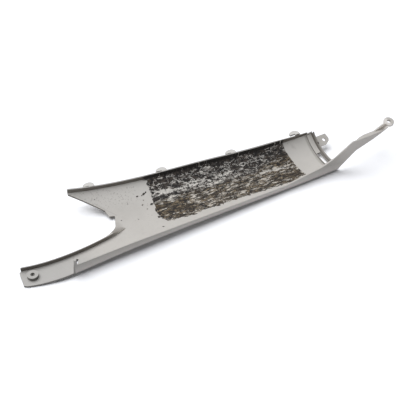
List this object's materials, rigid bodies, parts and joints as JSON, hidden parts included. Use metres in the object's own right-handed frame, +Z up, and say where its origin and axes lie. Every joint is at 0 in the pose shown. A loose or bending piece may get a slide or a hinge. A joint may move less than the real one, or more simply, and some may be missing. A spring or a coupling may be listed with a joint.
{
  "type": "scooter side panel",
  "caption": "Long tapered moulded side panel with a forked end, hooks along its back edge, a front flange that runs on as an arm with an eyelet, and torn pad remains inside.",
  "frame": {"origin": "middle of the panel's bounding box in X and Y, at the lowest point of its outer face in Z", "axes": "+X along the panel towards the arm and its eyelet, +Y across it to the back edge with the hooks, +Z up, which is inwards on the vehicle, as the panel lies on its convex outer face"},
  "size_m": [0.6608, 0.1438, 0.0616],
  "materials": {
    "panel_plastic": "unpainted light grey moulding, grained, grimy in the corners",
    "pad_remains": "torn felt and dried glue, black above and brown below, in streaks"
  },
  "bodies": {
    "root": {"side_panel": "panel_plastic", "pad_residue": "pad_remains"}
  },
  "joints": []
}
